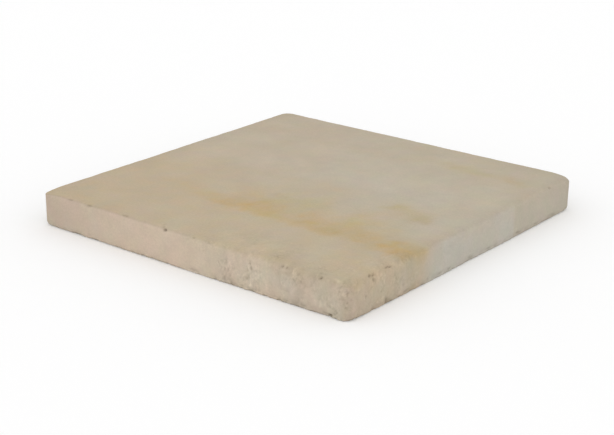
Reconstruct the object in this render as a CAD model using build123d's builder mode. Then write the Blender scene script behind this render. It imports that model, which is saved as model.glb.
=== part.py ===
"""Square concrete paver: one cast slab with eased arrises and corners worn to different radii.

Millimetres. The origin is at the centre of the bedding face, +Z points up to the wearing face,
-Y is the front edge and +X the right edge.
"""

import os

from build123d import *

# Overall size of the slab
length = 406.0  # along X
width = 406.0  # along Y
thickness = 38.0  # bedding face to wearing face

# Plan radius of each upright corner, as cast and then worn in handling
front_left_radius = 6.0
front_right_radius = 10.0
back_right_radius = 10.0
back_left_radius = 15.0

# Rounding of the long edges
wearing_arris_radius = 5.0  # around the wearing face
bedding_arris_radius = 1.5  # around the bedding face

# Direction in plan from the slab's centre to each corner, with that corner's radius
corners = (
    ((-1, -1), front_left_radius),
    ((1, -1), front_right_radius),
    ((1, 1), back_right_radius),
    ((-1, 1), back_left_radius),
)

with BuildPart() as paver:
    # Plan outline, with each corner rounded by itself
    with BuildSketch(Plane.XY) as outline:
        Rectangle(length, width)
        for direction, radius in corners:
            towards_corner = Axis((0, 0, 0), (*direction, 0))
            fillet(outline.vertices().sort_by(towards_corner)[-1], radius)
    extrude(amount=thickness)

    # Eased arrises: a generous one underfoot, a slight one on the bed
    fillet(paver.faces().sort_by(Axis.Z)[-1].edges(), wearing_arris_radius)
    fillet(paver.faces().sort_by(Axis.Z)[0].edges(), bedding_arris_radius)

paver.part.label = "paver"

os.makedirs("parts", exist_ok=True)
export_step(paver.part, "parts/paver.step")
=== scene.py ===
"""Looks of the square concrete paver: one cast slab with real relief and a procedural concrete.

Metres, in the frame of the CAD part: the origin is at the centre of the bedding face, +Z points up
to the wearing face, -Y is the front edge and +X the right edge. Tables of places are in millimetres.
"""

import math
from types import SimpleNamespace

import bpy
import numpy as np
from mathutils import Euler, Matrix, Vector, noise


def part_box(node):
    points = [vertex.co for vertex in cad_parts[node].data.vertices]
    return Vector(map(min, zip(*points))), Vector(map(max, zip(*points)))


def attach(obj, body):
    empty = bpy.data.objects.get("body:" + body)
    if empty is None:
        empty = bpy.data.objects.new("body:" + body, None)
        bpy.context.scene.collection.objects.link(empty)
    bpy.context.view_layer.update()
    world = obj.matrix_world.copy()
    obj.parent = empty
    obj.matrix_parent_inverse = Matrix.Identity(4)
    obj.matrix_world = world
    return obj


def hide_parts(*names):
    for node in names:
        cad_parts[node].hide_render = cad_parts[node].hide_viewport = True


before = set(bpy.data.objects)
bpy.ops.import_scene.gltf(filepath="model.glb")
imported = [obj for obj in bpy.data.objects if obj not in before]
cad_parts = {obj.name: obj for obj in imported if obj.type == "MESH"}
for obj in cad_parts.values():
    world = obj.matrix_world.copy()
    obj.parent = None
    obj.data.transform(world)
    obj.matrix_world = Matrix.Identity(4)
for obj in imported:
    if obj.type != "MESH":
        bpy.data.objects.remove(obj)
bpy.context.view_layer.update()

MM = 0.001
TINY = 1e-9
SEED = 7

# Size of the slab, from the frame, and the plan radii of its corners, as the CAD part has them
slab_low, slab_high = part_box("paver")
HALF = (slab_high.x - slab_low.x) / 2
THICK = slab_high.z - slab_low.z
CORNERS = ((-1, -1), (1, -1), (1, 1), (-1, 1))  # front left, front right, back right, back left
CORNER_RADII = (6.0 * MM, 10.0 * MM, 10.0 * MM, 15.0 * MM)

# Arris radii in mm, worn unevenly about the CAD part's 5 mm above and 1.5 mm below. Each station is
# a distance round the slab in sides: 0 is the front left corner and 1 the front right one.
WEARING_ARRIS = (
    (0.00, 1.2),
    (0.10, 2.8),
    (0.50, 3.5),
    (0.80, 6.2),
    (1.00, 8.5),
    (1.15, 7.2),
    (1.30, 5.6),
    (1.80, 5.5),
    (2.00, 3.4),
    (2.20, 4.4),
    (2.96, 5.4),
    (3.03, 2.4),
    (3.18, 2.6),
    (3.50, 4.6),
    (3.75, 4.2),
    (3.90, 2.4),
    (4.00, 1.2),
)
BEDDING_ARRIS = (
    (0.00, 4.6),
    (0.06, 2.2),
    (0.36, 2.4),
    (0.41, 3.4),
    (0.46, 2.2),
    (0.55, 0.6),
    (0.65, 0.6),
    (0.77, 2.0),
    (0.90, 1.4),
    (0.93, 3.4),
    (0.95, 0.8),
    (0.98, 0.8),
    (1.03, 2.8),
    (1.08, 1.8),
    (1.14, 1.3),
    (1.25, 1.4),
    (1.32, 0.7),
    (1.38, 0.8),
    (1.44, 1.8),
    (1.50, 2.6),
    (1.56, 1.2),
    (1.72, 1.2),
    (1.82, 1.6),
    (1.96, 2.6),
    (2.00, 5.2),
    (2.04, 3.2),
    (2.10, 1.5),
    (2.94, 1.5),
    (3.00, 2.6),
    (3.06, 1.5),
    (3.94, 1.5),
    (4.00, 4.6),
)
DIPS = (  # where the wearing face falls away at its edge: x, y, reach and depth in mm
    (-203, -203, 16, 2.8),
    (-203, -160, 36, 0.9),
    (203, -203, 20, 1.6),
    (203, 203, 13, 3.0),
)

# How finely the slab is divided
SIDE_STEPS = 400  # along each side
EDGE_ROWS = 28  # up the flat of the sides
WEARING_ARRIS_ROWS = 9
BEDDING_ARRIS_ROWS = 3
WEARING_RIM = 17.0 * MM  # the finely divided border of the wearing face
WEARING_RIM_ROWS = 9
BEDDING_RIM = 9.0 * MM
BEDDING_RIM_ROWS = 3
WEARING_STRIDE = 4  # side steps to one cell inside the border
BEDDING_STRIDE = 8

# Camera, solved from the outline of the slab in the photo
CAMERA_PLACE = (0.9049, -1.1417, 0.5239)
CAMERA_YAW = math.radians(38.65)
CAMERA_PITCH = math.radians(19.83)
CAMERA_ROLL = math.radians(0.44)
CAMERA_LENS = 83.63  # mm, on a sensor 36 mm wide
SENSOR_WIDTH = 36.0


# Fields over the slab's points

CLOUDS = {  # size of the lumps in mm, octaves, and a shift that sets each cloud apart
    "lie": (110, 3, 0.0),
    "waves": (24, 3, 5.0),
    "grain": (5, 3, 9.0),
    "torn": (8, 3, 13.0),
    "strokes": (2.5, 2, 17.0),
    "wear": (14, 4, 21.0),
    "nibble": (9, 3, 25.0),
    "arris darkening": (12, 3, 29.0),
    "ripple x": (26, 4, 33.0),
    "ripple y": (26, 4, 37.0),
    "shake x": (4, 2, 41.0),
    "shake y": (4, 2, 45.0),
    "shake z": (4, 2, 49.0),
    "patches": (30, 4, 53.0),
    "blotches": (45, 4, 57.0),
    "clusters": (20, 3, 61.0),
    "break": (4, 3, 0.0),
}
OCTAVE_FADE = 1.0  # how fast the finer octaves of a cloud fade
OCTAVE_STEP = 2.0  # how much finer each octave is
SIDE_RANGE = (190 * MM, 200 * MM)  # distances from the slab's middle over which a side face begins


def cloud(points, name):
    """Fractal noise of about -0.5 to 0.5, from the table of clouds."""
    lump, octaves, shift = CLOUDS[name]
    places = points / (lump * MM) + shift
    return np.array([noise.fractal(place, OCTAVE_FADE, OCTAVE_STEP, octaves) for place in places.tolist()])


def soft_step(low, high, value):
    """0 at low, 1 at high and a smooth change between them. High may be the smaller one."""
    share = np.clip((value - low) / (high - low), 0, 1)
    return share * share * (3 - 2 * share)


def grow(wash, value):
    """A wash: its full amount, and the two values over which it grows from nothing to that."""
    amount, reach = wash
    return amount * soft_step(*reach, value)


def near_side(distance):
    """1 at a side face and 0 inside the slab, by the distance from its middle."""
    return soft_step(*SIDE_RANGE, distance)


def halfway(first, second):
    """1 where two shares are both a half, 0 where either is none."""
    return 4 * first * second


def spot(points, centre, reach):
    """1 at the centre in mm, falling softly to 0 about two reaches away."""
    return np.exp(-(((points / MM - centre) / reach) ** 2).sum(axis=1))


def stations(table, places):
    """Values given at a few places, with straight runs between them."""
    at, values = zip(*table)
    return np.interp(places, at, values)


# Mesh of the slab

def loop(inset):
    """A square loop of points in plan, anticlockwise from the front left corner."""
    starts = np.array(CORNERS) * (HALF - inset)
    runs = np.roll(starts, -1, axis=0) - starts
    shares = np.arange(SIDE_STEPS) / SIDE_STEPS
    return (starts[:, None] + runs[:, None] * shares[None, :, None]).reshape(-1, 2)


def outline():
    """The slab's outline in plan, with its round corners, and the outward direction at each point."""
    flat = loop(0.0)
    for corner, radius in zip(CORNERS, CORNER_RADII):
        local = flat * corner - (HALF - radius)
        near = (local > 0).all(axis=1)
        reach = local[near].max(axis=1) / np.hypot(*local[near].T)
        flat[near] = (local[near] * reach[:, None] + HALF - radius) * corner
    along = np.roll(flat, -1, axis=0) - np.roll(flat, 1, axis=0)
    outward = np.column_stack([along[:, 1], -along[:, 0]])
    return flat, outward / np.linalg.norm(outward, axis=1, keepdims=True)


def edge_rings():
    """The rings of points from under the slab, up its edge, to the rim of the wearing face."""
    flat, outward = outline()
    sides = np.arange(len(flat)) / SIDE_STEPS
    low = stations(BEDDING_ARRIS, sides) * MM
    high = stations(WEARING_ARRIS, sides) * MM

    def ring(inset, height):
        return np.column_stack([flat - outward * inset[:, None], height])

    def between(first, last, steps):
        return [first + (last - first) * share for share in np.arange(steps) / steps]

    def quarter_turn(steps):
        return np.arange(steps) / steps * math.pi / 2

    level = np.zeros(len(flat))
    bed = np.column_stack([loop(BEDDING_RIM), level])
    rim = np.column_stack([loop(WEARING_RIM), level + THICK])
    rings = between(bed, ring(low, level), BEDDING_RIM_ROWS)
    for turn in quarter_turn(BEDDING_ARRIS_ROWS):
        rings.append(ring(low * (1 - math.sin(turn)), low * (1 - math.cos(turn))))
    rings += between(ring(level, low), ring(level, THICK - high), EDGE_ROWS)
    for turn in quarter_turn(WEARING_ARRIS_ROWS):
        rings.append(ring(high * (1 - math.cos(turn)), THICK - high * (1 - math.sin(turn))))
    return rings + between(ring(high, level + THICK), rim, WEARING_RIM_ROWS) + [rim]


def cap(first, inset, height, stride, next_point):
    """Closes the loop of points that starts at index first with a coarser grid of cells.

    Cells along the border take in every point of the loop. Returns the new points and the faces.
    """
    cells = SIDE_STEPS // stride

    def along(side, cell):
        return first + (side * SIDE_STEPS + cell * stride) % (4 * SIDE_STEPS)

    def corner(column, row):
        if row == 0:
            return along(0, column)
        if column == cells:
            return along(1, row)
        if row == cells:
            return along(2, cells - column)
        if column == 0:
            return along(3, cells - row)
        return next_point + (row - 1) * (cells - 1) + column - 1

    def between(side, cell):
        start = along(side, cell)
        return range(start + 1, start + stride)

    faces = []
    for row in range(cells):
        for column in range(cells):
            face = [corner(column, row)]
            face += between(0, column) if row == 0 else []
            face.append(corner(column + 1, row))
            face += between(1, row) if column == cells - 1 else []
            face.append(corner(column + 1, row + 1))
            face += between(2, cells - column - 1) if row == cells - 1 else []
            face.append(corner(column, row + 1))
            face += between(3, cells - row - 1) if column == 0 else []
            faces.append(face)
    lines = np.linspace(inset - HALF, HALF - inset, cells + 1)[1:-1]
    across, back = np.meshgrid(lines, lines)
    points = np.column_stack([across.ravel(), back.ravel(), np.full(across.size, height)])
    return points, faces


def slab_mesh():
    """The rounded slab with its worn corners, without its relief."""
    rings = edge_rings()
    round_slab = 4 * SIDE_STEPS
    here = np.arange(round_slab)
    beside = np.roll(here, -1)
    faces = []
    for row in range(len(rings) - 1):
        below, above = row * round_slab, (row + 1) * round_slab
        faces += np.column_stack([here + below, beside + below, beside + above, here + above]).tolist()
    made = len(rings) * round_slab
    wearing_points, wearing_faces = cap(made - round_slab, WEARING_RIM, THICK, WEARING_STRIDE, made)
    made += len(wearing_points)
    bedding_points, bedding_faces = cap(0, BEDDING_RIM, 0.0, BEDDING_STRIDE, made)
    faces += wearing_faces + [face[::-1] for face in bedding_faces]

    points = np.vstack(rings + [wearing_points, bedding_points])
    for x, y, reach, depth in DIPS:
        fall = spot(points[:, :2], (x, y), reach) * (points[:, 2] / THICK) ** 2
        points[:, 2] -= depth * MM * fall
    mesh = bpy.data.meshes.new("paver_cast")
    mesh.from_pydata(points.tolist(), [], faces)
    mesh.update()
    return mesh


# Map for baked textures

MAP_SCALE = 1.42  # map units to a metre
BED_SHARE = 0.5  # scale of the bedding face beside that of the rest
MAP_MARGIN = 0.005


def lay_out_map(mesh, points):
    """Lays the wearing face flat with the sides folded out round it, and the bedding face beside it."""
    corner = np.empty(len(mesh.loops), np.int32)
    mesh.loops.foreach_get("vertex_index", corner)
    first = np.empty(len(mesh.polygons), np.int32)
    mesh.polygons.foreach_get("loop_start", first)
    count = np.diff(np.append(first, len(corner)))
    on_bed = np.repeat(np.maximum.reduceat(points[corner, 2], first) < TINY, count)

    flat = points[:, :2]
    core = HALF - max(CORNER_RADII)
    away = flat - flat.clip(-core, core)
    away /= np.maximum(np.linalg.norm(away, axis=1, keepdims=True), TINY)
    folded = flat + away * (THICK - points[:, 2:])
    main = (folded + HALF + THICK) * MAP_SCALE + MAP_MARGIN
    bed = (flat + HALF) * MAP_SCALE * BED_SHARE + MAP_MARGIN
    bed[:, 0] += 2 * (HALF + THICK) * MAP_SCALE + MAP_MARGIN
    places = np.where(on_bed[:, None], bed[corner], main[corner])
    mesh.uv_layers.new(name="OFBake").data.foreach_set("uv", places.astype(np.float32).ravel())


# Relief: casting, wear and damage

PITS = (  # place x, y, z, size along x, y, z, and depth, in mm
    (-161, -202, 36.6, 11, 7, 6, 1.2),
    (-134, -202, 36.6, 12, 7, 6, 1.35),
    (-81, -201.5, 38, 12, 6, 4, 1.4),
    (-25, -202.5, 36, 5, 5, 4, 2.8),
    (-28.5, -200, 38, 4, 4, 3, 1.6),
    (-32, -196, 38, 3, 6, 3, 1.4),
    (13, -202.5, 37, 5, 4, 3, 1.3),
    (52, -203, 6, 4, 4, 6, 0.9),
    (81, -203, 12, 4, 4, 4, 1.4),
    (85, -203, 28, 2.0, 4, 5, 1.5),
    (87, -203, 23.5, 2.0, 4, 6, 1.6),
    (82, -203, 21, 2.2, 4, 8, 1.2),
    (97, -203, 22, 4, 4, 4, 1.1),
    (125, -201.6, 35, 2.4, 4, 4, 1.7),
    (129.5, -201.2, 36, 2.4, 4, 3, 1.6),
    (122, -202.4, 33, 2.2, 4, 3, 1.2),
    (130, -203, 12, 9, 4, 3, 0.8),
    (144, -203, 7, 5, 4, 6, 1.0),
    (154, -203, 22, 4, 4, 9, 0.7),
    (181.5, -202.6, 2.2, 5, 4, 2.8, 3.0),
    (169, -201.6, 36, 2.2, 4, 2.0, 2.4),
    (186, -203, 4.2, 2.4, 3, 2.4, 1.6),
    (188.8, -203, 6.6, 2.4, 3, 2.4, 1.5),
    (186.8, -203, 8, 2.2, 3, 2.2, 1.3),
    (199.4, -200.7, 26, 3, 3, 5, 1.2),
    (199.4, -200.7, 18, 3, 3, 3, 1.2),
    (198, -201.6, 13, 3, 3, 2.4, 1.2),
    (200.4, -167.5, 36.1, 4, 5, 2.6, 2.0),
    (201, -162.5, 35.7, 4, 4, 2.2, 1.7),
    (202.6, -165, 31.5, 4, 3, 5, 1.7),
    (203, -180, 32, 4, 3, 6, 0.8),
    (203, -145, 25, 4, 4, 4, 0.8),
    (203, -152, 15, 4, 4, 5, 1.2),
    (200.8, -142, 36.6, 3, 6.5, 1.6, 2.5),
    (201.6, -137, 35.7, 3, 6.5, 1.6, 2.5),
    (201.5, 154.5, 37.1, 5, 7, 5, 1.5),
)
FRONT_DASHES = (  # dark nibbles along the front face's bedding edge: place x, length and depth, in mm
    (13, 18, 0.8),
    (40, 16, 0.5),
    (75, 8, 0.6),
    (97, 7, 0.6),
    (117, 14, 0.6),
    (150, 8, 0.8),
    (176, 10, 0.8),
)
RIGHT_DASHES = (  # the same along the right face, with place y
    (-165, 8, 0.6),
    (-145, 7, 0.8),
    (-114, 12, 0.9),
    (-77, 6, 0.7),
    (-56, 9, 0.8),
    (-40, 5, 1.0),
    (-1, 9, 1.0),
    (32, 18, 0.8),
    (91, 12, 1.1),
    (128, 14, 0.8),
    (164, 16, 0.8),
)
DASH_HEIGHT = 3.5  # mm, of their middle above the bed and from top to bottom
DASH_WIDTH = 5  # mm, into the slab
CHIPS = (  # breaks of the front bedding arris: middle x, y, z, radius and depth of the cut, in mm
    (178, -202.6, 0.4, 6.5, 1.7),
    (171, -202.6, 0.4, 7.0, 1.0),
)
CHIP_AIM = np.array((0.0, -0.8, -0.6))  # the way out of the slab there
CHIP_REACH = 1.3  # radii from a break's middle within which points may move
CHIP_UNEVENNESS = 0.25  # of a break's radius
PORE_COUNT = 60
PORE_WIDTH = (1.8, 3.6)  # mm, least and most
PORE_DEPTH = 0.25  # of its width
PORES_ELSEWHERE = 0.02  # how often pores come outside the torn zone
PALE_MARKS = (  # fresh or limy places: the same columns as the pits, with the change of tone last
    (-33, -200, 38, 8, 6, 3, 0.05),
    (84, -203, 24, 2.4, 4, 8, 0.16),
    (85.5, -203, 7, 2.6, 4, 8, 0.26),
    (92, -203, 5, 3, 4, 6, 0.10),
    (126, -203, 10, 12, 4, 8, 0.03),
    (127.5, -200.5, 37.2, 4, 4, 3, 0.14),
    (127, -202, 32.5, 4, 4, 4, 0.1),
    (202, -119, 33, 4, 16, 8, 0.03),
    (196, -202.5, 27, 4, 4, 8, 0.05),
    (157, -203, 28, 5, 4, 7, 0.05),
    (170, -203, 9, 2.6, 4, 6, 0.16),
    (188, -198.5, 37, 9, 4, 4, 0.2),
    (201, -133, 36, 6, 9, 3, 0.12),
    (187.5, -203, 5.4, 2.4, 4, 2.4, 0.12),
    (203, -151, 11, 4, 3, 5, 0.06),
    (203, -122, 6, 4, 6, 4, 0.09),
    (203, -172, 5, 4, 9, 3, 0.08),
    (203, -178, 9, 4, 3, 5, 0.06),
)

# The zone that was torn on stripping: where it begins and where it is whole
TORN_FRONT_X = (-5 * MM, 60 * MM)
TORN_FRONT_Y = (-130 * MM, -190 * MM)
TORN_RIGHT_X = (160 * MM, 200 * MM)
TORN_RIGHT_Y = (-75 * MM, -120 * MM)
TORN_RIGHT_SHARE = 0.85  # how rough the right face is beside the front
TORN_LOSS_ON_TOP = 0.25  # how much less of it the wearing face has
TORN_STRETCH = (1, 1, 0.5)  # draws the tears out upright
STROKE_STRETCH = (1, 1, 0.65)
CLUSTER_RANGE = (-0.05, 0.25)  # the cloud's values over which a cluster of strokes begins
CLUSTER_LEAST = 0.1  # what is left of the strokes between clusters

# Heights and depths in mm
LIE_HEIGHT = 0.35
WAVE_HEIGHT = 0.14
GRAIN_HEIGHT = 0.08
TORN_HEIGHT = 0.6
TORN_DEPTH = 0.2  # how far the torn zone lies back
STROKE_HEIGHT = 0.75
BED_DEPTH = 0.35  # keeps the uneven bedding face above the floor
WEAR_START = -0.15  # the cloud's value from which the wearing arris is worn
NIBBLE_START = 0.02  # the cloud's value from which the bedding arris is nibbled
NIBBLE_DEPTH = 1.5
TORN_NIBBLES = 4  # times as much again in the torn zone
MOULD_STEP = 0.3  # how far the far end of the right face stands back
MOULD_STEP_Y = (79 * MM, 82 * MM)

# Dirt, painted shade and darkening: its share and, in a pair, the depths in mm over which it grows to that
# painted shade and dirt in the pits, nibbles and pores, darker with their depth
PIT_SHADE_AND_GRIME = (0.75, (0.4, 2.2))
DASH_SHADE_AND_GRIME = (0.35, (0.2, 0.9))
PORE_SHADE_AND_GRIME = (0.1, (0.2, 0.9))
# painted shade in the chips, darker with the depth lost
BREAK_SHADE = (0.3, (0.3, 1.5))
# darker along the bedding arris and the foot of the sides, most where they are nibbled
BED_DARK = 0.1
BED_NIBBLE_DARK = 0.6
FOOT_Z = (9 * MM, 1 * MM)  # heights over which the foot of a side face begins
FOOT_DARK = 0.03
FOOT_NIBBLE_DARK = 0.35
ARRIS_GRIME_FRONT = 0.1
ARRIS_GRIME_FRONT_X = (60 * MM, -20 * MM)
# darker along the hidden arrises at the back and on the left
ARRIS_DARK_HIDDEN = 0.4
ARRIS_DARK_LEFT_Y = (-200 * MM, -180 * MM)
ARRIS_DARK_LEAST = 0.6
ARRIS_DARK_BROKEN = (0.5, (-0.35, 0.35))  # over the cloud's values

# Changes of tone, some of them painted light and shade
# painted light on the crests and painted shade in the hollows of the torn relief and its strokes, partly
# dirt in the hollows
TORN_LIGHT_AND_SHADE = 0.07
STROKE_LIGHT_AND_SHADE = 0.17
BLOTCH_TONE = 0.04
TORN_BLOTCH_TONE = 0.06
ARRIS_SHADE = 0.05  # painted shade: how much darker the wearing arris is
ARRIS_BLENDS_Y = (40 * MM, 100 * MM)  # where the right face's arris loses that


def rough_zone(points):
    """Where the faces were torn on stripping: both sides of the front right corner."""
    x, y = points[:, :2].T
    along_front = soft_step(*TORN_FRONT_X, x) * soft_step(*TORN_FRONT_Y, y)
    along_right = soft_step(*TORN_RIGHT_Y, y) * soft_step(*TORN_RIGHT_X, x)
    return np.maximum(along_front, TORN_RIGHT_SHARE * along_right)


def marks(points, table):
    """The strongest of a table's soft marks at each point."""
    strength = np.zeros(len(points))
    for *place, length, width, tall, strong in table:
        half = np.array((length, width, tall)) / 2
        strength = np.maximum(strength, strong * spot(points, place, half))
    return strength


def dashes():
    """The nibbles along both bedding edges, with the same columns as the pits."""
    edge = HALF / MM
    rows = []
    for x, length, depth in FRONT_DASHES:
        rows.append((x, -edge, DASH_HEIGHT, length, DASH_WIDTH, DASH_HEIGHT, depth))
    for y, length, depth in RIGHT_DASHES:
        rows.append((edge, y, DASH_HEIGHT, DASH_WIDTH, length, DASH_HEIGHT, depth))
    return rows


def pores(points, weight):
    """Depth in mm of small air holes, scattered where the weight is high."""
    rng = np.random.default_rng(SEED)
    depth = np.zeros(len(points))
    chosen = rng.choice(len(points), size=PORE_COUNT, replace=False, p=weight / weight.sum())
    for index, width in zip(chosen, rng.uniform(*PORE_WIDTH, PORE_COUNT)):
        depth = np.maximum(depth, PORE_DEPTH * width * spot(points, points[index] / MM, width / 2))
    return depth


def break_chips(points):
    """Scoops the chipped edge out with rough round breaks."""
    for x, y, z, radius, cut in CHIPS:
        centre = np.array((x, y, z)) * MM + CHIP_AIM * (radius - cut) * MM
        apart = points - centre
        length = np.linalg.norm(apart, axis=1)
        near = length < radius * CHIP_REACH * MM
        reach = radius * MM * (1 + CHIP_UNEVENNESS * cloud(points[near], "break"))
        push = np.maximum(reach / length[near], 1)
        points[near] = centre + apart[near] * push[:, None]
    return points


def lay_fields(points, normals):
    """What the relief and the colours share: which way each point faces, its wear and its damage."""
    up = normals[:, 2].clip(0, 1) ** 2
    down = (-normals[:, 2]).clip(0, 1) ** 2
    upright = 1 - up - down
    wearing_arris = halfway(up, upright)
    rough = rough_zone(points) * (1 - TORN_LOSS_ON_TOP * up) * (1 - down)
    clusters = CLUSTER_LEAST + (1 - CLUSTER_LEAST) * soft_step(*CLUSTER_RANGE, cloud(points, "clusters"))
    shake = np.column_stack([cloud(points, "shake " + axis) for axis in "xyz"])
    shaken = points + shake * MM
    return SimpleNamespace(
        up=up,
        down=down,
        upright=upright,
        wearing_arris=wearing_arris,
        bedding_arris=halfway(down, upright),
        rough=rough,
        clustered=rough * clusters,
        torn=cloud(points * TORN_STRETCH, "torn"),
        strokes=rough * clusters * cloud(points * STROKE_STRETCH, "strokes"),
        wear=np.maximum(0, cloud(points, "wear") - WEAR_START),
        nibble=np.maximum(0, cloud(points, "nibble") - NIBBLE_START),
        pits=marks(shaken, PITS),
        dashes=marks(shaken, dashes()),
        pores=pores(shaken, upright * (PORES_ELSEWHERE + rough) + PORES_ELSEWHERE * wearing_arris),
        pale_marks=marks(shaken, PALE_MARKS),
        patchy=cloud(points, "patches"),
    )


def relief_height(points, field):
    """How far in mm each point stands out of the plain slab."""
    height = LIE_HEIGHT * cloud(points, "lie") + WAVE_HEIGHT * cloud(points, "waves")
    height += GRAIN_HEIGHT * cloud(points, "grain") + STROKE_HEIGHT * field.strokes
    height += field.rough * (TORN_HEIGHT * field.torn - TORN_DEPTH) - BED_DEPTH * field.down
    height -= field.wear * field.wearing_arris * (1 + field.rough)
    height -= NIBBLE_DEPTH * field.nibble * field.bedding_arris * (1 + TORN_NIBBLES * field.rough)
    height -= MOULD_STEP * near_side(points[:, 0]) * soft_step(*MOULD_STEP_Y, points[:, 1])
    return height - field.pits - field.dashes - field.pores


def arris_darkening(points, wearing_arris):
    """Darkening of the wearing arris: some dirt on the crisp half of the front one, darker still on the
    hidden ones.
    """
    x, y = points[:, :2].T
    front = near_side(-y) * soft_step(*ARRIS_GRIME_FRONT_X, x)
    hidden = np.maximum(near_side(y), near_side(-x) * soft_step(*ARRIS_DARK_LEFT_Y, y))
    broken_up = ARRIS_DARK_LEAST + grow(ARRIS_DARK_BROKEN, cloud(points, "arris darkening"))
    return wearing_arris * (ARRIS_GRIME_FRONT * front + ARRIS_DARK_HIDDEN * hidden) * broken_up


def lay_grime_and_shade(points, field, lost):
    """The share of darkening: dirt and painted shade in the hollows, dirt and darkening along the arrises,
    darkening along the foot, and painted shade where chips were lost.
    """
    grime_and_shade = grow(PIT_SHADE_AND_GRIME, field.pits) + grow(DASH_SHADE_AND_GRIME, field.dashes) + grow(PORE_SHADE_AND_GRIME, field.pores)
    grime_and_shade += arris_darkening(points, field.wearing_arris)
    grime_and_shade += field.bedding_arris * (BED_DARK + BED_NIBBLE_DARK * field.nibble)
    foot = field.upright * soft_step(*FOOT_Z, points[:, 2])
    grime_and_shade += foot * (FOOT_DARK + FOOT_NIBBLE_DARK * field.nibble * (1 + field.rough))
    grime_and_shade += grow(BREAK_SHADE, lost)
    return grime_and_shade.clip(0, 1)


def wear_tone_and_shading(points, field):
    """How light or dark wear and damage make each point, about 1, with painted light and shade over the
    torn relief and painted shade on the wearing arris.
    """
    blotches = (BLOTCH_TONE + TORN_BLOTCH_TONE * field.rough) * cloud(points, "blotches")
    # the torn relief and its strokes: painted light on the crests, painted shade in the hollows, partly
    # dirt
    tone = 1 + TORN_LIGHT_AND_SHADE * field.rough * field.torn + STROKE_LIGHT_AND_SHADE * field.strokes + blotches
    blended = near_side(points[:, 0]) * soft_step(*ARRIS_BLENDS_Y, points[:, 1])
    # painted shade on the wearing arris, fading out along the right one from y 40 mm to 100 mm
    return tone + field.pale_marks - ARRIS_SHADE * field.wearing_arris * (1 - blended)


def shape_relief(mesh):
    """Moves the slab's points by its relief, and keeps on the mesh what the concrete's colours need."""
    count = len(mesh.vertices)
    points = np.empty(count * 3)
    normals = np.empty(count * 3)
    mesh.vertices.foreach_get("co", points)
    mesh.vertex_normals.foreach_get("vector", normals)
    points = points.reshape(-1, 3)
    normals = normals.reshape(-1, 3)
    lay_out_map(mesh, points)

    field = lay_fields(points, normals)
    shaped = points + normals * relief_height(points, field)[:, None] * MM
    broken = break_chips(shaped.copy())
    mesh.vertices.foreach_set("co", broken.ravel())
    mesh.update()

    lost = np.linalg.norm(broken - shaped, axis=1) / MM
    keep_masks(mesh, points, field, wear_tone_and_shading(points, field), lay_grime_and_shade(points, field, lost))


# Where the colours lie

IRON_LINE = (  # x and y in mm of the ochre band's strongest line
    (-140, -100),
    (10, -99),
    (72, -98),
    (104, -97),
    (140, -96),
    (158, -100),
    (168, -110),
    (174, -110),
    (181, -104),
    (212, -102),
)
IRON_EDGE = (-24.0, -8.0)  # mm from that line to where the near edge begins and to where it is whole
IRON_STRENGTH = (  # x in mm and how strong the band is there
    (-140, 0.0),
    (-90, 0.1),
    (-72, 0.26),
    (-56, 0.3),
    (-20, 0.3),
    (4, 0.34),
    (22, 0.29),
    (40, 0.2),
    (60, 0.33),
    (80, 0.33),
    (102, 0.35),
    (120, 0.34),
    (140, 0.26),
    (166, 0.27),
    (181, 0.68),
    (194, 0.52),
    (212, 0.28),
)
IRON_SPREAD = (  # x in mm and how far the band fades away towards the back, in mm
    (-140, 14),
    (-60, 11),
    (-20, 34),
    (0, 46),
    (42, 64),
    (60, 38),
    (80, 22),
    (100, 38),
    (120, 60),
    (140, 30),
    (182, 17),
)
IRON_SPOTS = (  # x and y of the middle, half length and half width in mm, strength
    (115, -6, 10, 12, 0.40),
    (130, -16, 13, 10, 0.17),
    (153, -21, 13, 13, 0.38),
    (-28, -104, 8, 6, 0.10),
    (-28, -88, 8, 9, 0.14),
    (-10, -100, 9, 7, -0.12),
    (2, -103, 9, 6, 0.11),
    (38, -113, 18, 4, -0.1),
    (130, -86, 8, 14, 0.13),
    (-2, -82, 8, 7, 0.08),
    (69, -104, 9, 7, 0.24),
    (101, -107, 10, 5, 0.16),
    (156, -1, 9, 8, 0.06),
    (-8, -55, 6, 5, 0.12),
    (-30, -5, 18, 14, 0.11),
    (20, 3, 16, 12, 0.1),
    (-118, -84, 24, 12, 0.07),
    (-40, -126, 50, 14, 0.07),
    (91, 147, 12, 9, 0.2),
    (112, 143, 14, 10, 0.1),
    (132, 143, 12, 9, 0.15),
    (166, 142, 15, 11, 0.24),
    (120, 142, 60, 18, 0.07),
    (-170, -186, 20, 12, 0.07),
    (-130, -196, 24, 8, 0.07),
    (30, -194, 50, 9, 0.05),
)
OLIVE_SPOTS = (  # the same columns, for places where the iron is olive
    (-68, -98, 14, 10, 0.7),
    (2, -68, 16, 14, 0.6),
    (36, -54, 16, 24, 1.0),
    (108, -68, 18, 12, 0.7),
    (165, -96, 18, 8, 0.5),
    (212, -98, 12, 10, 0.5),
    (21, -107, 8, 6, 0.45),
    (90, -102, 6, 5, 0.3),
    (115, -6, 12, 12, 1.0),
    (152, -18, 14, 14, 0.8),
    (91, 147, 14, 12, 1.0),
    (125, 143, 18, 10, 0.8),
)
PALE_SPOTS = (  # the same columns, for places with less iron
    (90, 40, 115, 62, 0.11),
    (186, -46, 44, 42, 0.2),
    (120, -142, 36, 20, 0.07),
    (-8, 95, 70, 26, 0.04),
    (82, -46, 18, 12, 0.09),
)
RIGHT_IRON = (  # on the right face: y and z of the middle, half length and half height in mm, strength
    (-92, 38, 14, 9, 0.26),
    (-94, 28, 13, 14, 0.16),
    (-117, 20, 12, 13, -0.14),
    (-104, 2, 15, 6, 0.2),
    (-91, 10, 14, 13, 0.08),
    (-160, 34, 40, 9, 0.1),
    (-188, 32, 24, 12, 0.08),
)
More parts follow.
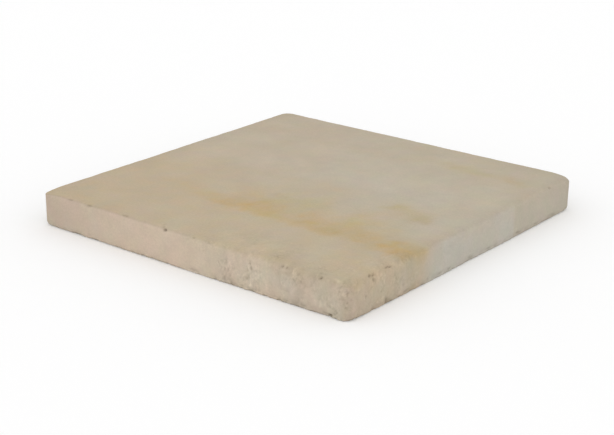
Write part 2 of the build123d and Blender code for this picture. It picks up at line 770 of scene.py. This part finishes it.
FRONT_IRON = (  # the same columns, on the front face with x for y
    (190, 32, 26, 12, 0.1),
    (120, 36, 80, 7, 0.14),
)
FRONT_LIGHT_AND_TONE = (  # x in mm and how bright the front face is there: partly its own tone, partly painted light that lifts it above the wearing face
    (-203, 0.935),
    (-169, 0.96),
    (-143, 1.01),
    (-90, 1.08),
    (15, 1.08),
    (72, 1.01),
    (115, 1.055),
    (155, 1.0),
    (203, 0.945),
)
FRONT_DARK = (  # on the front face: x and z of the middle, half length and half height in mm, how dark
    (-168, 18, 18, 8, 0.04),
    (190, 8, 14, 8, 0.05),
)
WEARING_TONE = (  # on the wearing face: x and y, half length and half width in mm, change of tone
    (203, 0, 14, 600, -0.05),
    (0, 203, 600, 75, -0.045),
    (-203, 0, 20, 600, -0.04),
    (178, 198, 50, 20, -0.04),
    (10, -150, 80, 40, 0.015),
    (-20, -142, 30, 20, 0.025),
    (-8, -55, 5, 5, -0.04),
)
WEARING_BLUSH = (  # on the wearing face: x and y, half length and half width in mm, how pink
    (208, -113, 12, 8, 0.6),
    (-20, -86, 20, 9, 0.2),
    (60, -98, 16, 7, 0.3),
    (-28, -104, 8, 5, 0.25),
    (34, -96, 10, 5, 0.2),
)
FRONT_BLUSH = (  # x in mm and how pink the front face is there
    (-203, 0.8),
    (-10, 0.95),
    (65, 0.3),
    (170, 0.35),
    (203, 0.9),
)

# Washes of each tint: the full amount, and the places in mm over which it grows
IRON_GROUND = 0.13
IRON_PATCHES = 0.1
IRON_NEAR = (0.19, (30, -90))  # along y
IRON_LEFT = (0.03, (-20, -140))  # along x
IRON_NEAR_LEFT = (0.06, (-40, -110))  # along x
IRON_NEAR_LEFT_Y = (50, -40)
BAND_PATCHES = 0.4
SIDE_IRON = 0.1
SIDE_IRON_PATCHES = 0.12
SIDE_IRON_HIGH = (0.08, (20, 38))  # along z
FRONT_LESS_IRON = (0.06, (20, 70))  # along x
FRONT_LESS_IRON_END = (203, 180)  # along x, back to none
RIGHT_IRON_NEAR = (0.1, (-70, -110))  # along y
RIGHT_IRON_NEAREST = (0.04, (-125, -150))  # along y
FRONT_BLUSH_PATCHES = 0.5
WEARING_BLUSH_LEFT = (0.22, (20, -110))  # along x
RIGHT_BLUSH = 0.3
RIGHT_BLUSH_PATCHES = 0.8
RIGHT_BLUSH_Y = (-115, -180)
SLATE_Y = (-100, -58)
SLATE_LEAN = 0.35  # mm along y that the slate's edge leans for each mm up
SLATE_AT_BED = 1.15
SLATE_FALL = 0.016  # for each mm up
SLATE_PATCHES = 0.5
SLATE_PAST_STEP = (0.55, (77, 83))  # along y, lost past the mould step
RIGHT_DARK = 0.025
RIGHT_DARK_NEAR = (0.03, (-80, -110))  # along y
RIGHT_DARK_PAST_STEP = (0.03, (77, 83))  # along y
RIGHT_DARK_FAR = (0.03, (125, 180))  # along y
# painted shade on the left and back faces, where the rounded corners turn away from the light
HIDDEN_SHADE = 0.12
HIDDEN_LEFT_X = (-199, -202)
HIDDEN_BACK_Y = (185, 201)
STREAK_DARK = 0.12
STREAK_DARKEST = 0.3  # the streak from which it gets no darker

# How far the stains' outlines wander, in metres for a cloud of 1
WEARING_RIPPLE = (15 * MM, 8 * MM)
FRONT_RIPPLE = 16 * MM
RIGHT_RIPPLE = 9 * MM


def patches(flat, table):
    """Soft oval patches on a face, laid over each other."""
    strength = np.zeros(len(flat))
    for across, along, half_length, half_width, strong in table:
        strength += strong * spot(flat, (across, along), (half_length, half_width))
    return strength


def iron_band(x, y):
    """The ochre band across the wearing face: a short near edge and flames towards the back."""
    behind = y - stations(IRON_LINE, x)
    strength = stations(IRON_STRENGTH, x) * soft_step(*IRON_EDGE, behind)
    return strength * np.exp(-(np.maximum(0, behind) / stations(IRON_SPREAD, x)) ** 2)


def iron_mask(points, field, side, flat, ripple, streaks):
    """How much of the iron stain each point has."""
    x, y, z = points.T / MM
    drift = IRON_GROUND + grow(IRON_NEAR, y) + IRON_PATCHES * field.patchy
    drift += grow(IRON_LEFT, x) + grow(IRON_NEAR_LEFT, x) * soft_step(*IRON_NEAR_LEFT_Y, y)
    band = iron_band(*(flat / MM).T) * (1 + BAND_PATCHES * field.patchy)
    on_top = drift + streaks + band - patches(flat, PALE_SPOTS)
    on_sides = SIDE_IRON + SIDE_IRON_PATCHES * field.patchy + grow(SIDE_IRON_HIGH, z)
    over_arris = np.sqrt(field.up)
    iron = on_top * over_arris + on_sides * (1 - over_arris)
    iron -= side.front * grow(FRONT_LESS_IRON, x) * soft_step(*FRONT_LESS_IRON_END, x)
    iron += side.front * patches(points[:, ::2] + ripple * FRONT_RIPPLE, FRONT_IRON)
    iron += side.right * patches(points[:, 1:] + ripple * RIGHT_RIPPLE, RIGHT_IRON)
    return iron + side.right * (grow(RIGHT_IRON_NEAR, y) + grow(RIGHT_IRON_NEAREST, y))


def blush_mask(points, field, side, flat):
    """How pink each point is."""
    x, y = points[:, :2].T / MM
    blush = side.front * (stations(FRONT_BLUSH, x) + FRONT_BLUSH_PATCHES * field.patchy)
    blush += field.up * (grow(WEARING_BLUSH_LEFT, x) + patches(flat, WEARING_BLUSH))
    patchy = RIGHT_BLUSH + RIGHT_BLUSH_PATCHES * field.patchy
    return blush + side.right * soft_step(*RIGHT_BLUSH_Y, y) * patchy


def slate_mask(points, field, side):
    """How much of the cool grey of the right face each point has."""
    y, z = points[:, 1:].T / MM
    slate = side.right * soft_step(*SLATE_Y, y - SLATE_LEAN * z) * (1 - grow(SLATE_PAST_STEP, y))
    return slate * (SLATE_AT_BED - SLATE_FALL * z + SLATE_PATCHES * field.patchy)


def face_tone(points, field, side, streaks):
    """How light or dark each point's place on the slab makes it, about 1, with painted light on the front
    face and painted shade on the left and back faces.
    """
    x, y = points[:, :2].T / MM
    # painted light on the front face, over its own tone
    tone = 1 + side.front * (stations(FRONT_LIGHT_AND_TONE, x) - 1)
    tone *= 1 - side.front * patches(points[:, ::2], FRONT_DARK)
    tone *= 1 - side.right * (RIGHT_DARK + grow(RIGHT_DARK_NEAR, y) + grow(RIGHT_DARK_PAST_STEP, y))
    tone *= 1 - side.right * grow(RIGHT_DARK_FAR, y)
    # painted shade on the left and back faces
    tone *= 1 - HIDDEN_SHADE * side.hidden
    tone *= 1 - field.up * STREAK_DARK * streaks.clip(0, STREAK_DARKEST)
    return tone * (1 + field.up * patches(points[:, :2], WEARING_TONE))


def keep_masks(mesh, points, field, tone, grime_and_shade):
    """Stores where each tint of the concrete lies, with its painted light and shade, point by point, for
    the material to read.
    """
    x, y = points[:, :2].T
    hidden = np.maximum(soft_step(*HIDDEN_LEFT_X, x / MM), soft_step(*HIDDEN_BACK_Y, y / MM))
    side = SimpleNamespace(
        front=field.upright * near_side(-y),
        right=field.upright * near_side(x),
        hidden=field.upright * hidden,
    )
    ripple = np.column_stack([cloud(points, "ripple " + axis) for axis in "xy"])
    flat = points[:, :2] + ripple * WEARING_RIPPLE
    streaks = patches(flat, IRON_SPOTS)
    masks = {
        "iron": iron_mask(points, field, side, flat, ripple, streaks),
        "olive": field.up * patches(flat, OLIVE_SPOTS),
        "blush": blush_mask(points, field, side, flat),
        "slate": slate_mask(points, field, side),
        "tone": tone * face_tone(points, field, side, streaks),
        "grime_and_shade": grime_and_shade,
        "rough": field.clustered,
    }
    for name, values in masks.items():
        mesh.attributes.new(name, "FLOAT", "POINT").data.foreach_set("value", values.astype(np.float32))


# Concrete

CONCRETE_PALE = (0.5, 0.446, 0.357)
CONCRETE_IRON = (0.5, 0.349, 0.16)
CONCRETE_OLIVE = (0.46, 0.383, 0.145)
CONCRETE_BLUSH = (0.515, 0.416, 0.326)
CONCRETE_SLATE = (0.489, 0.456, 0.395)
# dirt, and painted shade in the hollows and chips
CONCRETE_GRIME_AND_SHADE = (0.14, 0.11, 0.075)
ROSE_TINT = (1.012, 0.984, 0.998)
OLIVE_TINT = (0.988, 1.009, 0.975)
SPECKLE_DEPTH = (0.045, 0.06)  # share of light and dark in the speckle of smooth and of rough faces
FLECK_DEPTH = (0.01, 0.045)  # the same for the coarser flecks
GRAINS = {  # scale, detail and roughness of each noise in the concrete
    "hue": (45.0, 4.0, 0.6),
    "mottle": (70.0, 6.0, 0.55),
    "flecks": (210.0, 3.0, 0.6),
    "speckle": (420.0, 4.0, 0.7),
    "sand": (1100.0, 2.0, 0.6),
}
NOISE_RANGE = (0.3, 0.7)  # holds nearly all values of such a noise
HUE_RANGE = (0.35, 0.65)
GRIME_AND_SHADE_RANGE = (0.3, 0.6)
IRON_MOTTLE = (0.8, 1.2)  # how the mottle weakens and strengthens the iron
MOTTLE_TONE = (0.965, 1.035)
SAND_TONE = (0.96, 1.04)
GRIME_AND_SHADE_SPECKLE = (0.6, 1.0)  # how the speckle breaks the grime and painted shade up
ROUGHNESS = (0.82, 0.95)
SPECULAR = 0.3
SPECKLE_BUMP = (0.5, 1.8)  # on smooth and on rough faces
SAND_BUMP = 0.35
BUMP_STRENGTH = 0.6
BUMP_HEIGHT = 0.5 * MM

# Sockets of the mix node when it mixes colours
MIX_SHARE = 0
MIX_FIRST = 6
MIX_SECOND = 7
MIX_RESULT = 2


def add_node(tree, kind, inputs, **settings):
    """A new node with its settings made and its inputs set or linked."""
    node = tree.nodes.new(kind)
    for name, value in settings.items():
        setattr(node, name, value)
    for name, value in inputs.items():
        if isinstance(value, bpy.types.NodeSocket):
            tree.links.new(value, node.inputs[name])
        else:
            node.inputs[name].default_value = value
    return node


def noise_value(tree, place, scale, detail, roughness):
    inputs = {"Vector": place, "Scale": scale, "Detail": detail, "Roughness": roughness}
    return add_node(tree, "ShaderNodeTexNoise", inputs).outputs["Fac"]


def remap(tree, value, low, high, to_low, to_high):
    inputs = {"Value": value, "From Min": low, "From Max": high, "To Min": to_low, "To Max": to_high}
    return add_node(tree, "ShaderNodeMapRange", inputs).outputs["Result"]


def calculate(tree, operation, first, second):
    return add_node(tree, "ShaderNodeMath", {0: first, 1: second}, operation=operation).outputs[0]


def blend_colour(tree, share, first, second, way="MIX"):
    rgba = [(*value, 1.0) if isinstance(value, tuple) else value for value in (first, second)]
    inputs = {MIX_SHARE: share, MIX_FIRST: rgba[0], MIX_SECOND: rgba[1]}
    node = add_node(tree, "ShaderNodeMix", inputs, data_type="RGBA", blend_type=way)
    return node.outputs[MIX_RESULT]


def mask(tree, name):
    return add_node(tree, "ShaderNodeAttribute", {}, attribute_name=name).outputs["Fac"]


def product(tree, first, *others):
    for other in others:
        first = calculate(tree, "MULTIPLY", first, other)
    return first


def by_roughness(tree, smooth, rough):
    """A value that changes from smooth faces to rough ones."""
    return remap(tree, mask(tree, "rough"), 0.0, 1.0, smooth, rough)


def grain_factor(tree, grain, depth):
    """A factor about 1 that follows the grain, by its depths on smooth and on rough faces."""
    swing = product(tree, remap(tree, grain, *NOISE_RANGE, -1.0, 1.0), by_roughness(tree, *depth))
    return calculate(tree, "ADD", swing, 1.0)


def concrete_colour(tree, grains):
    """Pale ground, iron stains, pink and grey casts, tone with some painted light and shade, light and dark
    grain, and grime and painted shade over them.
    """
    iron = product(tree, mask(tree, "iron"), remap(tree, grains["mottle"], *NOISE_RANGE, *IRON_MOTTLE))
    stain = blend_colour(tree, mask(tree, "olive"), CONCRETE_IRON, CONCRETE_OLIVE)
    colour = blend_colour(tree, iron, CONCRETE_PALE, stain)
    colour = blend_colour(tree, mask(tree, "blush"), colour, CONCRETE_BLUSH)
    colour = blend_colour(tree, mask(tree, "slate"), colour, CONCRETE_SLATE)
    tint = blend_colour(tree, remap(tree, grains["hue"], *HUE_RANGE, 0.0, 1.0), ROSE_TINT, OLIVE_TINT)
    colour = blend_colour(tree, 1.0, colour, tint, "MULTIPLY")
    shade = product(
        tree,
        mask(tree, "tone"),
        grain_factor(tree, grains["speckle"], SPECKLE_DEPTH),
        grain_factor(tree, grains["flecks"], FLECK_DEPTH),
        remap(tree, grains["mottle"], *NOISE_RANGE, *MOTTLE_TONE),
        remap(tree, grains["sand"], *NOISE_RANGE, *SAND_TONE),
    )
    grey = add_node(tree, "ShaderNodeCombineColor", {0: shade, 1: shade, 2: shade}).outputs[0]
    colour = blend_colour(tree, 1.0, colour, grey, "MULTIPLY")
    grime_and_shade = product(tree, mask(tree, "grime_and_shade"), remap(tree, grains["speckle"], *GRIME_AND_SHADE_RANGE, *GRIME_AND_SHADE_SPECKLE))
    return blend_colour(tree, grime_and_shade, colour, CONCRETE_GRIME_AND_SHADE)


def concrete_bump(tree, grains):
    """The grain that is too fine for the mesh."""
    coarse = product(tree, grains["speckle"], by_roughness(tree, *SPECKLE_BUMP))
    texture = calculate(tree, "ADD", coarse, product(tree, grains["sand"], SAND_BUMP))
    inputs = {"Height": texture, "Strength": BUMP_STRENGTH, "Distance": BUMP_HEIGHT}
    return add_node(tree, "ShaderNodeBump", inputs).outputs["Normal"]


def concrete_material():
    """Buff cast concrete, matt and sandy."""
    material = bpy.data.materials.new("concrete")
    material.use_nodes = True
    tree = material.node_tree
    place = add_node(tree, "ShaderNodeTexCoord", {}).outputs["Object"]
    grains = {name: noise_value(tree, place, *grain) for name, grain in GRAINS.items()}
    shader = tree.nodes["Principled BSDF"]
    tree.links.new(concrete_colour(tree, grains), shader.inputs["Base Color"])
    tree.links.new(remap(tree, grains["mottle"], *NOISE_RANGE, *ROUGHNESS), shader.inputs["Roughness"])
    tree.links.new(concrete_bump(tree, grains), shader.inputs["Normal"])
    shader.inputs["Specular IOR Level"].default_value = SPECULAR
    return material


# Stage: floor, light and camera

WORLD_ZENITH = 0.72  # how bright the surroundings are overhead
WORLD_HORIZON = 1.2
FLOOR_SIZE = 40.0
FLOOR_COLOUR = (0.88, 0.88, 0.88)  # as it lights the slab
FLOOR_SEEN = (0.92, 0.92, 0.92)  # as the camera sees it
FLOOR_GLOW = 0.1
SUNS = (  # name, heading (0 from the front, 90 from the right), elevation, power, softness; in degrees
    ("key", -15.0, 25.0, 0.4, 80.0),
    ("fill", 85.0, 20.0, 0.3, 90.0),
)


def make_floor():
    """Pale floor that looks white to the camera and keeps the slab's shadow."""
    bpy.ops.mesh.primitive_plane_add(size=FLOOR_SIZE)
    floor = bpy.context.object
    floor.name = "floor"
    material = bpy.data.materials.new("floor")
    material.use_nodes = True
    tree = material.node_tree
    tree.nodes.remove(tree.nodes["Principled BSDF"])
    seen = add_node(tree, "ShaderNodeBsdfDiffuse", {"Color": (*FLOOR_SEEN, 1.0)}).outputs[0]
    glow = add_node(tree, "ShaderNodeEmission", {"Strength": FLOOR_GLOW}).outputs[0]
    seen = add_node(tree, "ShaderNodeAddShader", {0: seen, 1: glow}).outputs[0]
    lighting = add_node(tree, "ShaderNodeBsdfDiffuse", {"Color": (*FLOOR_COLOUR, 1.0)}).outputs[0]
    camera_ray = add_node(tree, "ShaderNodeLightPath", {}).outputs["Is Camera Ray"]
    mixed = add_node(tree, "ShaderNodeMixShader", {0: camera_ray, 1: lighting, 2: seen}).outputs[0]
    tree.links.new(mixed, tree.nodes["Material Output"].inputs["Surface"])
    floor.data.materials.append(material)


def make_light():
    """White surroundings, brighter towards the horizon, and two broad soft suns."""
    world = bpy.data.worlds.new("surroundings")
    bpy.context.scene.world = world
    world.use_nodes = True
    tree = world.node_tree
    paths = add_node(tree, "ShaderNodeLightPath", {}).outputs
    seen = calculate(tree, "MAXIMUM", paths["Is Camera Ray"], paths["Is Glossy Ray"])
    aim = add_node(tree, "ShaderNodeTexCoord", {}).outputs["Generated"]
    rise = add_node(tree, "ShaderNodeSeparateXYZ", {"Vector": aim}).outputs["Z"]
    level = remap(tree, rise, 0.0, 1.0, WORLD_HORIZON, WORLD_ZENITH)
    level = add_node(tree, "ShaderNodeMix", {"Factor": seen, "A": level, "B": 1.0}).outputs["Result"]
    background = tree.nodes["Background"]
    background.inputs["Color"].default_value = (1.0, 1.0, 1.0, 1.0)
    tree.links.new(level, background.inputs["Strength"])
    for name, heading, elevation, power, softness in SUNS:
        lamp = bpy.data.lights.new(name, "SUN")
        lamp.energy = power
        lamp.angle = math.radians(softness)
        sun = bpy.data.objects.new(name, lamp)
        sun.rotation_euler = Euler((math.radians(90 - elevation), 0, math.radians(heading)))
        bpy.context.collection.objects.link(sun)


def make_camera():
    data = bpy.data.cameras.new("camera")
    data.lens = CAMERA_LENS
    data.sensor_width = SENSOR_WIDTH
    camera = bpy.data.objects.new("camera", data)
    aim = Euler((math.pi / 2 - CAMERA_PITCH, 0, CAMERA_YAW)).to_matrix()
    turn = aim @ Matrix.Rotation(CAMERA_ROLL, 3, "Z")
    camera.matrix_world = Matrix.Translation(CAMERA_PLACE) @ turn.to_4x4()
    bpy.context.collection.objects.link(camera)
    bpy.context.scene.camera = camera


def make_paver():
    mesh = slab_mesh()
    shape_relief(mesh)
    mesh.shade_smooth()
    mesh.materials.append(concrete_material())
    paver = bpy.data.objects.new("paver_cast", mesh)
    bpy.context.collection.objects.link(paver)
    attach(paver, "root")
    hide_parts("paver")


make_paver()
make_floor()
make_light()
make_camera()
bpy.context.scene.view_settings.view_transform = "Standard"
